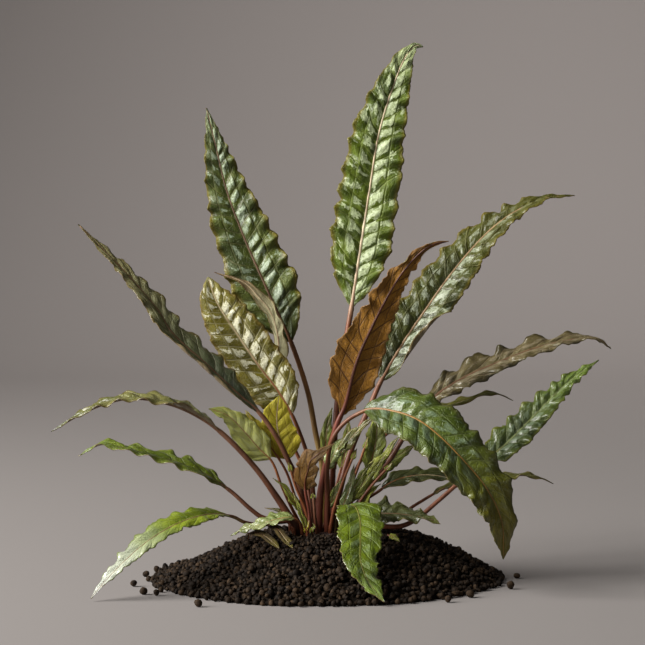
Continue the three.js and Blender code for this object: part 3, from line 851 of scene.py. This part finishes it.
grow_leaf(
    "leaf_copper", 7, olive_blade, dark_rib_stalk,
    [[-3, -8, 21], [-2, -9, 36], [1, -11, 52], [5, -14, 66], [8, -15, 73], [13, -19, 92], [19, -22, 106],
     [25, -25, 118], [31, -27, 128], [38, -29, 136], [43, -30, 139.5], [50, -30, 141]],
    0.36, 20, 3.2, 8, 1.1, [0, 1, 0], tip=[-0.3, 1, 0.5], teeth=2.2, ruffle=0.6, pucker=0.6, cup=0.6,
    under=copper_underside,
)
grow_leaf(
    "leaf_copper_small", 8, olive_blade, dark_rib_stalk,
    [[-6, -11, 21], [-7, -11, 32], [-8, -13, 38], [-8, -16, 43], [-7, -18, 47], [-6, -19, 51], [-3, -20, 54],
     [4, -20, 58.5]],
    0.4, 10.5, 1.8, 3, 1.1, [0.3, 1, -0.1], tip=[0, 1, -0.5], teeth=2.8, ruffle=0.35, pucker=0.4, cup=0.3,
    under=dark_copper,
)

# ----------------------------------------
# Leaves that arch to the left: narrower ruffled blades on long dark stalks, the lowest of them
# bending over the heap until its tip rests on the floor, and two young yellow leaves behind.
# ----------------------------------------
grey_green = blade_material(
    "grey_green_blade", (0.2, 0.19, 0.055), (0.11, 0.115, 0.028), (0.2, 0.16, 0.1), (0.12, 0.08, 0.015),
    (0.13, 0.15, 0.05), vein_show=0.3,
)
arch_green = blade_material(
    "arch_green_blade", (0.085, 0.105, 0.045), (0.035, 0.048, 0.022), (0.2, 0.16, 0.1), (0.12, 0.08, 0.015),
    (0.2, 0.175, 0.065), vein_show=0.3, tip_from=0.1,
)
leaf_green = blade_material(
    "leaf_green_blade", (0.15, 0.2, 0.01), (0.075, 0.11, 0.004), (0.26, 0.28, 0.12), (0.2, 0.22, 0.04),
    (0.2, 0.28, 0.06), vein_show=0.25,
)
# Its whitish tip colour is a painted highlight, where the glossy tip would mirror the light
painted_highlight_tip_green = blade_material(
    "painted_highlight_tip_blade", (0.21, 0.27, 0.012), (0.12, 0.17, 0.006), (0.26, 0.28, 0.12), (0.11, 0.14, 0.012),
    (0.66, 0.68, 0.6), vein_show=0.2, tip_from=0.36,
)
pale_green = blade_material(
    "pale_green_blade", (0.42, 0.45, 0.2), (0.18, 0.23, 0.05), (0.3, 0.32, 0.14), (0.26, 0.3, 0.08),
    (0.3, 0.34, 0.1), vein_show=0.3,
)
pale_olive = blade_material(
    "pale_olive_blade", (0.5, 0.52, 0.13), (0.32, 0.33, 0.06), (0.34, 0.33, 0.16), (0.32, 0.33, 0.1),
    (0.36, 0.4, 0.06), vein_show=0.4, painted_sheen_show=0.2, coat=0.5,
)
yellow_blade = blade_material(
    "yellow_blade", (0.62, 0.52, 0.03), (0.42, 0.36, 0.018), (0.2, 0.13, 0.01), (0.6, 0.5, 0.04),
    (0.55, 0.48, 0.04), vein_show=0.6, gloss=0.5, coat=0.0,
)
dark_stalk = stalk_material("dark_stalk", (0.1, 0.032, 0.014), (0.2, 0.09, 0.05), (0.2, 0.11, 0.06))
orange_stalk = stalk_material("orange_stalk", (0.16, 0.045, 0.016), (0.3, 0.1, 0.03), (0.4, 0.22, 0.09))

grow_leaf(
    "leaf_arch_left", 9, arch_green, dark_stalk,
    [[-7, -3, 21], [-11, -5, 41], [-15, -7, 50], [-20, -8, 60], [-27, -8, 70], [-35, -8, 77], [-50, -7, 91],
     [-57, -6, 97], [-64, -5, 104], [-69, -3, 112], [-82, 0, 127], [-91, 2, 136], [-103, 4, 148]],
    0.33, 14, 2.8, 10, 1.4, [0.3, -0.6, 0.75], tip=[0.2, -0.7, 0.7], ruffle=0.85, teeth=1.2,
    roll=(-1, 0.02, 0.5, 0.35, 2.7),
)
grow_leaf(
    "leaf_long_left", 10, grey_green, dark_stalk,
    [[-10, -9, 21], [-14.5, -10, 27], [-19, -10, 34], [-28, -12, 47], [-41, -14, 61], [-50, -15, 68],
     [-63, -16, 74], [-80, -17, 76.5], [-96, -18, 72], [-112, -18, 63]],
    0.42, 16, 3, 7, 1.6, [0.3, -0.1, 1], tip=[-0.2, -0.2, 1], ruffle=0.8, roll=(-1, 0.0, 0.3, 0.3, 2.6),
)
grow_leaf(
    "leaf_middle_left", 11, leaf_green, dark_stalk,
    [[-13, 0, 21], [-15, 0, 24.5], [-20, 1, 24.5], [-26, 2, 25.5], [-31, 2, 29], [-40, 2, 37], [-53, 2, 45],
     [-67, 2, 50], [-82, 2, 54], [-93, 2, 56], [-103, 2, 51]],
    0.34, 13, 2.4, 6, 1.8, [0.2, -0.3, 1], tip=[0, -0.2, 1],
)
grow_leaf(
    "leaf_floor_left", 12, painted_highlight_tip_green, dark_stalk,
    [[-12, -4, 21], [-14, -4, 24.5], [-19, -5, 24.5], [-26, -7, 23.6], [-33, -10, 25], [-38, -15, 28],
     [-48, -26, 30], [-61, -38, 27], [-73, -47, 20], [-86, -56, 8], [-92, -60, 1]],
    0.3, 12.5, 2, 8, 2.4, [0.2, -0.3, 1], tip=[-0.3, -0.5, 1], ruffle=0.5, pucker=0.5, teeth=2,
)
grow_leaf(
    "leaf_pale_low", 13, pale_green, brown_stalk,
    [[-9, -13, 21], [-11, -14, 26], [-14, -15, 27.5], [-20, -15, 26.8], [-26, -15, 25], [-33, -13, 22.5],
     [-39, -11, 19.5]],
    0.2, 8.5, 1.4, 5, 1.6, [0, -0.5, 1], tip=[-0.3, -0.5, 1], teeth=2.6, pucker=1.4,
)
grow_leaf(
    "leaf_olive_small", 14, pale_olive, orange_stalk,
    [[-9, -6, 21], [-14, -7, 31], [-18, -7.5, 40], [-22, -7.5, 50], [-27, -7.5, 55], [-33, -8, 62],
     [-40, -9, 69], [-48, -10, 72]],
    0.49, 12.5, 1.5, 4, 1.8, [-0.25, -0.8, 0.5], ruffle=0.5, pucker=0.6, teeth=1.2,
)
grow_leaf(
    "leaf_yellow_left", 15, yellow_blade, brown_stalk,
    [[-8, 1, 21], [-12, -1, 33], [-16, -3, 45], [-20, -4, 52], [-25, -5, 59], [-33, -5, 71]],
    0.58, 8, 1.5, 3, 1.6, [0, -1, 0.1], ruffle=0.35, pucker=0.3, teeth=1.2, cup=0.3, under=yellow_blade,
)
grow_leaf(
    "leaf_yellow_right", 16, yellow_blade, brown_stalk,
    [[-5, 1, 21], [-10, -1, 36], [-14, -2, 46], [-16, -3, 53], [-19, -3, 60], [-20, -3, 67], [-19, -4, 77]],
    0.53, 15, 1.5, 4, 2.6, [0, -1, 0], ruffle=0.3, pucker=0.3, teeth=1.4, cup=0.3, under=yellow_blade,
)

# ----------------------------------------
# Leaves that arch to the right: from the long one high up to the broad glossy one that bends over
# in front, with the narrow ones between and behind them. Their stalks are red-brown.
# ----------------------------------------
dusky_green = blade_material(
    "dusky_green_blade", (0.072, 0.082, 0.018), (0.034, 0.04, 0.008), (0.12, 0.12, 0.05), (0.1, 0.09, 0.012),
    (0.12, 0.13, 0.02), vein_show=0.3, coat=0.35,
)
glossy_green = blade_material(
    "glossy_green_blade", (0.08, 0.115, 0.012), (0.034, 0.054, 0.004), (0.14, 0.16, 0.07),
    (0.07, 0.07, 0.012), (0.16, 0.13, 0.002), vein_show=0.25, painted_sheen=(0.22, 0.3, 0.2), painted_sheen_show=0.5,
    cover=-0.04, tip_from=0.4, coat=0.42,
)
tipped_green = blade_material(
    "tipped_green_blade", (0.062, 0.088, 0.013), (0.022, 0.036, 0.004), (0.16, 0.18, 0.07),
    (0.12, 0.13, 0.012), (0.14, 0.21, 0.022), vein_show=0.25, tip_from=0.45, painted_sheen=(0.22, 0.28, 0.18),
    painted_sheen_show=0.6, cover=-0.03, coat=0.4,
)
long_green = blade_material(
    "long_green_blade", (0.058, 0.066, 0.005), (0.022, 0.027, 0.002), (0.15, 0.13, 0.05),
    (0.14, 0.105, 0.008), (0.09, 0.085, 0.005), vein_show=0.25, painted_sheen=(0.36, 0.4, 0.28), painted_sheen_show=0.85,
    cover=-0.03, tip_from=0.35, coat=0.22, gloss=0.42,
)
tan_rib_stalk = stalk_material(
    "tan_rib_stalk", (0.12, 0.035, 0.018), (0.24, 0.09, 0.045), (0.38, 0.25, 0.13),
)
pale_rib_stalk = stalk_material("pale_rib_stalk", (0.14, 0.045, 0.022), (0.26, 0.1, 0.05), (0.2, 0.24, 0.09))
amber_rib_stalk = stalk_material(
    "amber_rib_stalk", (0.11, 0.03, 0.015), (0.2, 0.075, 0.035), (0.38, 0.2, 0.05),
)

grow_leaf(
    "leaf_upper_right", 17, long_green, tan_rib_stalk,
    [[3, -2, 21], [5, -1, 33], [11, 2, 54], [19, 6, 72], [23, 9, 81], [33, 13, 98], [42, 16, 111],
     [52, 19, 125], [62, 22, 137], [71, 24, 146], [80, 26, 152.5], [93, 28, 158.5], [107, 30, 160]],
    0.35, 22, 3.2, 12, 1.8, [0, -1, 0.2], tip=[-0.1, -0.35, 1], ruffle=0.7, teeth=1.8, cup=0.8,
    roll=(1, 0.04, 0.34, 0.25, 2.8),
)
grow_leaf(
    "leaf_brown_right", 18, brown_olive, dark_stalk,
    [[9, 1, 21], [13, 2, 29], [19, 4, 39], [27, 7, 49], [34, 9, 60], [42, 10, 70], [47, 11, 76],
     [60, 13, 84], [74, 14, 90], [87, 15, 95], [101, 16, 98.5], [114, 16, 99.5], [121, 17, 95]],
    0.4, 12, 3, 6.5, 2, [-0.1, -1, 0.6], tip=[0, -0.5, 1], ruffle=1.8, teeth=1.8, pucker=1.6,
)
grow_leaf(
    "leaf_lower_right", 19, tipped_green, pale_rib_stalk,
    [[8, -6, 21], [10.5, -7, 25.5], [16, -9, 25], [24, -12, 23.6], [31, -12, 23.6], [37, -11, 26],
     [47, -9, 34], [62, -7, 47], [73, -4, 55], [86, 1, 67], [101, 7, 81], [115, 10, 91]],
    0.5, 15, 2.4, 9, 1.7, [-0.3, -0.9, 0.6], tip=[-0.3, -0.9, 0.8], ruffle=1.1, pucker=1.2, teeth=2.0,
)
grow_leaf(
    "leaf_big_right", 20, glossy_green, amber_rib_stalk,
    [[1, -8, 21], [1, -10, 34], [1, -14, 49], [3, -18, 60], [8, -20, 67], [14, -22, 71], [19, -25, 73],
     [30, -32, 72], [38, -37, 69], [46, -41, 63], [54, -44, 55], [64, -46, 43], [70, -46, 30], [71, -44, 14]],
    0.38, 25, 2.4, 8.5, 2.9, [0, -0.8, 0.6], tip=[0.5, -0.8, 0.3], ruffle=0.55, pucker=0.75, teeth=1.6,
    cup=0.8,
)
grow_leaf(
    "leaf_back_right", 21, plain_olive, brown_stalk,
    [[4, 8, 21], [8, 9, 34], [17, 12, 51], [27, 14, 60], [40, 16, 67], [53, 18, 71], [62, 18, 74],
     [72, 19, 76], [80, 20, 73]],
    0.52, 8, 1.8, 4, 1.8, [0, -0.3, 1], tip=[0, -0.2, 1],
)
grow_leaf(
    "leaf_grey_right", 22, dusky_green, brown_stalk,
    [[7, -2, 21], [11, -2, 28], [16, -3, 33], [22, -4, 37], [27, -4, 40.5], [34, -3, 43], [44, -1, 43.5],
     [52, 0, 42], [60, 1, 39]],
    0.38, 9, 1.8, 5, 2, [-0.3, -0.7, 1], tip=[0.3, -0.7, 1],
)
grow_leaf(
    "leaf_hidden_right", 23, plain_olive, brown_stalk,
    [[11, -2, 21], [13, -1, 24.5], [19, 2, 24.5], [26, 4, 24], [31, 5, 26], [39, 6, 31], [51, 7, 37.5],
     [61, 7, 40], [73, 7, 41.5], [83, 7, 42.5], [90, 7, 41.5], [96, 7, 39]],
    0.43, 10, 1.8, 5, 1.6, [-0.2, -0.2, 1], tip=[0.2, -0.2, 1],
)
grow_leaf(
    "leaf_dark_right", 24, dusky_green, dark_stalk,
    [[8, -10, 21], [11, -12, 27], [16, -14, 29.5], [24, -17, 29.5], [30, -18, 29.4], [36, -20, 28.8],
     [42, -22, 28], [47, -24, 26]],
    0.24, 12.5, 1.8, 4.5, 1.6, [0, -0.8, 0.7], tip=[0.2, -0.5, 1], ruffle=1.3, teeth=2.8,
)

# ----------------------------------------
# Young leaves in the middle and the one in front: the front leaf lies down over the heap, and the
# small ones stand up between the older stalks.
# ----------------------------------------
front_green = blade_material(
    "front_green_blade", (0.12, 0.17, 0.005), (0.055, 0.085, 0.002), (0.22, 0.26, 0.08), (0.1, 0.13, 0.01),
    (0.2, 0.3, 0.03), vein_show=0.1, coat=0.9, tip_from=0.8, painted_sheen=(0.3, 0.4, 0.2), painted_sheen_show=0.35,
    cover=-0.1,
)
inner_green = blade_material(
    "inner_green_blade", (0.32, 0.37, 0.05), (0.14, 0.17, 0.014), (0.2, 0.2, 0.07), (0.14, 0.12, 0.015),
    (0.2, 0.2, 0.03), vein_show=0.25, painted_sheen=(0.4, 0.42, 0.24), painted_sheen_show=0.4, coat=0.25, gloss=0.4,
)
green_rib_stalk = stalk_material("green_rib_stalk", (0.1, 0.06, 0.02), (0.16, 0.13, 0.03), (0.2, 0.19, 0.04))

grow_leaf(
    "leaf_front", 25, front_green, green_rib_stalk,
    [[4, -10, 21], [5, -12, 28], [8, -16, 32], [12, -23, 33], [14, -32, 29], [14, -45, 21.5], [14, -56, 15],
     [17, -66, 8.5], [23, -74, 2]],
    0.14, 18, 1.8, 6, 2.3, [0, -0.2, 1], tip=[0.2, -0.6, 1], ruffle=0.5, pucker=0.4, teeth=2.2, cup=0.6,
)
grow_leaf(
    "leaf_inner_right", 26, inner_green, brown_stalk,
    [[5, 2, 21], [10, 3, 32], [15, 5, 41], [19, 7, 48], [21, 8, 55], [22, 9, 64], [23, 10, 71]],
    0.5, 10, 1.6, 3.5, 2, [0, -1, 0], tip=[0, -1, 0.2], teeth=1.4,
)
grow_leaf(
    "leaf_inner_far", 27, inner_green, brown_stalk,
    [[6, 5, 21], [11, 7, 31], [18, 9, 40], [25, 11, 47], [32, 12, 51], [38, 12, 55]],
    0.42, 9.5, 1.5, 3.5, 1.8, [0, -0.8, 0.5], teeth=1.4,
)
grow_leaf(
    "leaf_inner_narrow", 28, inner_green, brown_stalk,
    [[5, -5, 21], [7, -8, 30], [10, -9, 36], [14, -9, 42], [17, -9, 47], [20, -8, 50]],
    0.34, 5, 1.3, 3, 1.6, [-0.5, -1, 0], tip=[-0.5, -1, 0.3],
)
grow_leaf(
    "leaf_inner_dark", 29, inner_green, brown_stalk,
    [[1, 1, 21], [4, 2, 36], [7, 5, 47], [9, 7, 55], [10, 8, 66]],
    0.54, 6, 1.5, 3, 1.8, [0, -1, 0],
)
grow_leaf(
    "leaf_inner_sprout", 30, inner_green, brown_stalk,
    [[-1, -5, 21], [2, -5, 31], [5, -6, 38], [7, -6, 43]],
    0.4, 4.5, 1.3, 2, 1.6, [-0.3, -1, 0],
)
grow_leaf(
    "leaf_inner_back", 31, inner_green, brown_stalk,
    [[-2, 3, 21], [-1, 5, 40], [0, 6, 53], [1, 7, 63], [3, 8, 71]],
    0.6, 5, 1.5, 3, 1.8, [0, -1, 0],
)

# ----------------------------------------
# Scraps at the foot: strips of old leaf, bare old stalks, and small sprigs and torn bits of leaf.
# They lie on the soil or lean on the stalks, and four hang by a thin stalk of their own.
# ----------------------------------------
dead_strip = blade_material(
    "dead_strip", (0.07, 0.04, 0.003), (0.04, 0.022, 0.002), (0.1, 0.07, 0.02),
    (0.06, 0.035, 0.005), (0.13, 0.11, 0.005), gloss=0.6, coat=0.05, tip_from=0.6,
)
torn_green = blade_material(
    "torn_green", (0.4, 0.43, 0.06), (0.2, 0.23, 0.016), (0.24, 0.24, 0.08),
    (0.16, 0.15, 0.02), (0.2, 0.2, 0.04), vein_show=0.3, coat=0.2, gloss=0.4,
)
DEAD_STRIPS = (
    ("strip_left", 3.8, [[-32, -10, 20.6], [-27, -15, 21], [-23, -22, 19.8], [-18.5, -30, 16.9]]),
    ("strip_right", 4.0, [[-24, -11, 24], [-20, -16, 23.4], [-17, -23.5, 21], [-13, -32, 17.2]]),
)
OLD_STALKS = (
    ("old_stalk_left", orange_stalk, [[-6, -10, 21], [-8, -11, 30], [-12, -12, 40], [-15, -12, 50]]),
    ("old_stalk_low", dark_stalk, [[-3, -13, 21], [-4, -15, 27], [-4.5, -16.5, 33], [-5, -17, 38]]),
    ("old_stalk_middle", orange_stalk, [[2, -11, 21], [4, -13, 32], [8, -14, 44], [13, -15, 56]]),
    ("old_stalk_right", brown_stalk, [[7, -9, 21], [12, -10, 30], [19, -11, 40], [28, -11, 50]]),
    ("old_stalk_far", orange_stalk, [[6, -4, 21], [9, -4, 34], [14, -4, 48], [18, -4, 60]]),
)
SCRAPS = (
    ("bit_right", torn_green, 3, [[25.5, -15, 20.4], [27.5, -17, 20.2], [29, -19, 19.4], [30.5, -21, 18.6]]),
    ("sprig_upper", torn_green, 3.4,
     [[-9, -8.5, 27], [-13, -10.5, 34], [-16.5, -11, 39.5], [-21.5, -11, 43.5]]),
    ("sprig_lower", plain_olive, 2.8, [[-11, -7.5, 23], [-15, -6, 27], [-20, -5.5, 29.5], [-25, -5.5, 30.5]]),
    ("sprig_front", torn_green, 2.4, [[-7, -16.5, 20.8], [-9, -17.5, 27], [-11, -18, 33], [-13, -17, 38]]),
    ("moss_left", yellow_blade, 2, [[-7.5, -14, 20.5], [-8, -15, 22.5], [-7, -15, 24.5], [-6.5, -15, 26.5]]),
    ("moss_middle", torn_green, 2, [[-5, -14.5, 20.5], [-5.5, -15.5, 22], [-4.5, -16, 24], [-5, -16, 25.5]]),
    ("torn_pale", pale_green, 6, [[0, -12, 44], [4, -13, 54], [9, -14, 60], [15, -15, 64.5]]),
    ("torn_olive", plain_olive, 5.5, [[4, -13, 50], [9, -15, 58], [14, -17, 64], [21, -19, 70]]),
    ("torn_right", torn_green, 6, [[9, -5, 30], [14, -6, 38], [19, -6, 45], [25, -6, 52]]),
    ("torn_far", torn_green, 6, [[12, 0, 34], [19, 0, 44], [25, 0, 52], [31, 0, 60]]),
    ("torn_low", torn_green, 5, [[10, -7, 26], [15, -9, 32], [18, -10, 37], [23, -10, 41]]),
    ("torn_middle", pale_green, 4.5, [[6, -9, 28], [9, -10, 36], [11, -10, 42], [12, -10, 49]]),
)
# The scraps with a thin stalk of their own down to the crown: its share of the length and its foot
ROOTED = {
    "sprig_upper": (0.317, [-8, -8, 21]), "torn_right": (0.347, [6, -4, 21]),
    "torn_far": (0.384, [8, 2, 21]), "torn_middle": (0.344, [4, -7, 21]),
}
for count, (name, width, path) in enumerate(DEAD_STRIPS):
    grow_leaf(
        name, 50 + count, dead_strip, brown_stalk, path, petiole=0.03, width=width, stem=0.7,
        waves=1.2, taper=4.5, face=[0.1, -0.7, 0.8], ruffle=0.4, pucker=0.4, teeth=0.8,
        under=dead_strip, litter=True,
    )
for count, (name, finish, path) in enumerate(OLD_STALKS):
    grow_leaf(
        name, 90 + count, torn_green, finish, path, petiole=0.86, width=2.4, stem=1.5, waves=1.5,
        taper=1.4, face=[0.1, -0.9, 0.5], tip=[-0.2, -0.7, 0.8], under=torn_green, litter=True,
    )
for count, (name, finish, width, path) in enumerate(SCRAPS):
    share, foot = ROOTED.get(name, (0.12, None))
    grow_leaf(
        name, 60 + count, finish, brown_stalk, [foot, *path] if foot else path, petiole=share,
        width=width, stem=0.9, waves=2.5, taper=1.4, face=[0.1, -0.9, 0.5], tip=[-0.2, -0.7, 0.8],
        ruffle=1.2, pucker=1.2, teeth=1.8, under=finish, litter=True,
    )
